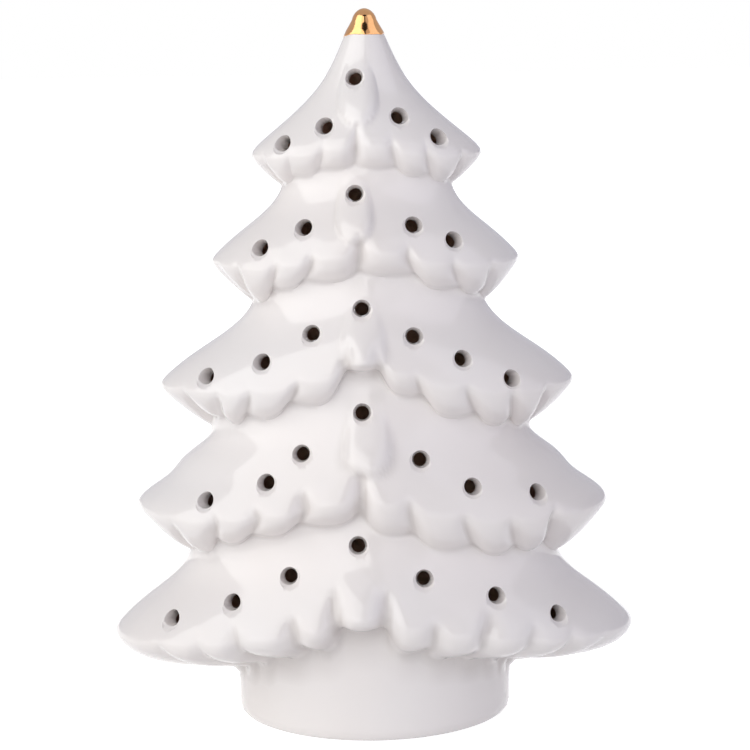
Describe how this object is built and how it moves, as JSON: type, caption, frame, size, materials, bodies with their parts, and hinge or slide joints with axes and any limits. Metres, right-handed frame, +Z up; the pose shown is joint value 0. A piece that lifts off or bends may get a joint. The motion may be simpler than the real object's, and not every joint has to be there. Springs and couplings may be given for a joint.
{
  "type": "pierced christmas tree lamp",
  "caption": "White glazed Christmas tree ornament with scalloped, pierced branches, a gilt tip and a lift-out battery light unit in its round foot.",
  "frame": {"origin": "middle of the foot's rim, on the surface the tree stands on", "axes": "+Z up to the tip, +X across the wide front, -Y towards the viewer of the front"},
  "size_m": [0.1308, 0.0848, 0.175],
  "materials": {
    "white_glaze": "clear gloss glaze over white porcelain",
    "gold_lustre": "bright fired gold lustre",
    "cream_plastic": "fine spark texture from the mould",
    "soft_seal": "matt translucent silicone",
    "screw_steel": "bright zinc plate",
    "cell_steel": "satin stainless can",
    "contact_nickel": "nickel plate",
    "board_green": "green solder mask",
    "bulb_lens": "clear warm epoxy",
    "resistor_tan": "lacquered body",
    "switch_black": "plain black moulding",
    "red_sleeve": "smooth insulation",
    "black_sleeve": "smooth insulation"
  },
  "bodies": {
    "tree": {"tree_shell": "white_glaze", "gold_tip": "gold_lustre"},
    "light_unit": {"light_housing": "cream_plastic", "seal_ring": "soft_seal", "cell_1": "cell_steel", "cell_2": "cell_steel", "cell_3": "cell_steel", "spring_contact": "contact_nickel", "plate_contact": "contact_nickel", "circuit_board": "board_green", "led_bulb": "bulb_lens", "led_leads": "contact_nickel", "resistor": "resistor_tan", "switch_body": "switch_black", "switch_pins": "contact_nickel", "red_lead": "red_sleeve", "black_lead": "black_sleeve", "light_cover": "cream_plastic", "cover_screw_1": "screw_steel", "cover_screw_2": "screw_steel", "cover_screw_3": "screw_steel"},
    "battery_door": {"battery_door": "cream_plastic"},
    "door_screw": {"door_screw": "screw_steel"},
    "switch_slider": {"switch_slider": "switch_black"}
  },
  "joints": [
    {"name": "light_unit_pull", "type": "slide", "parent": "tree", "child": "light_unit", "axis": [0, 0, -1], "range_m": [0, 0.034]},
    {"name": "battery_door_lift", "type": "slide", "parent": "light_unit", "child": "battery_door", "axis": [0, 0, -1], "range_m": [0, 0.01]},
    {"name": "door_screw_turn", "type": "hinge", "parent": "battery_door", "child": "door_screw", "pos_m": [0.01597, 0.005, 0.0042], "axis": [0, 0, 1], "range_deg": [0, 720]},
    {"name": "switch_travel", "type": "slide", "parent": "light_unit", "child": "switch_slider", "axis": [1, 0, 0], "range_m": [0, 0.0025]}
  ]
}
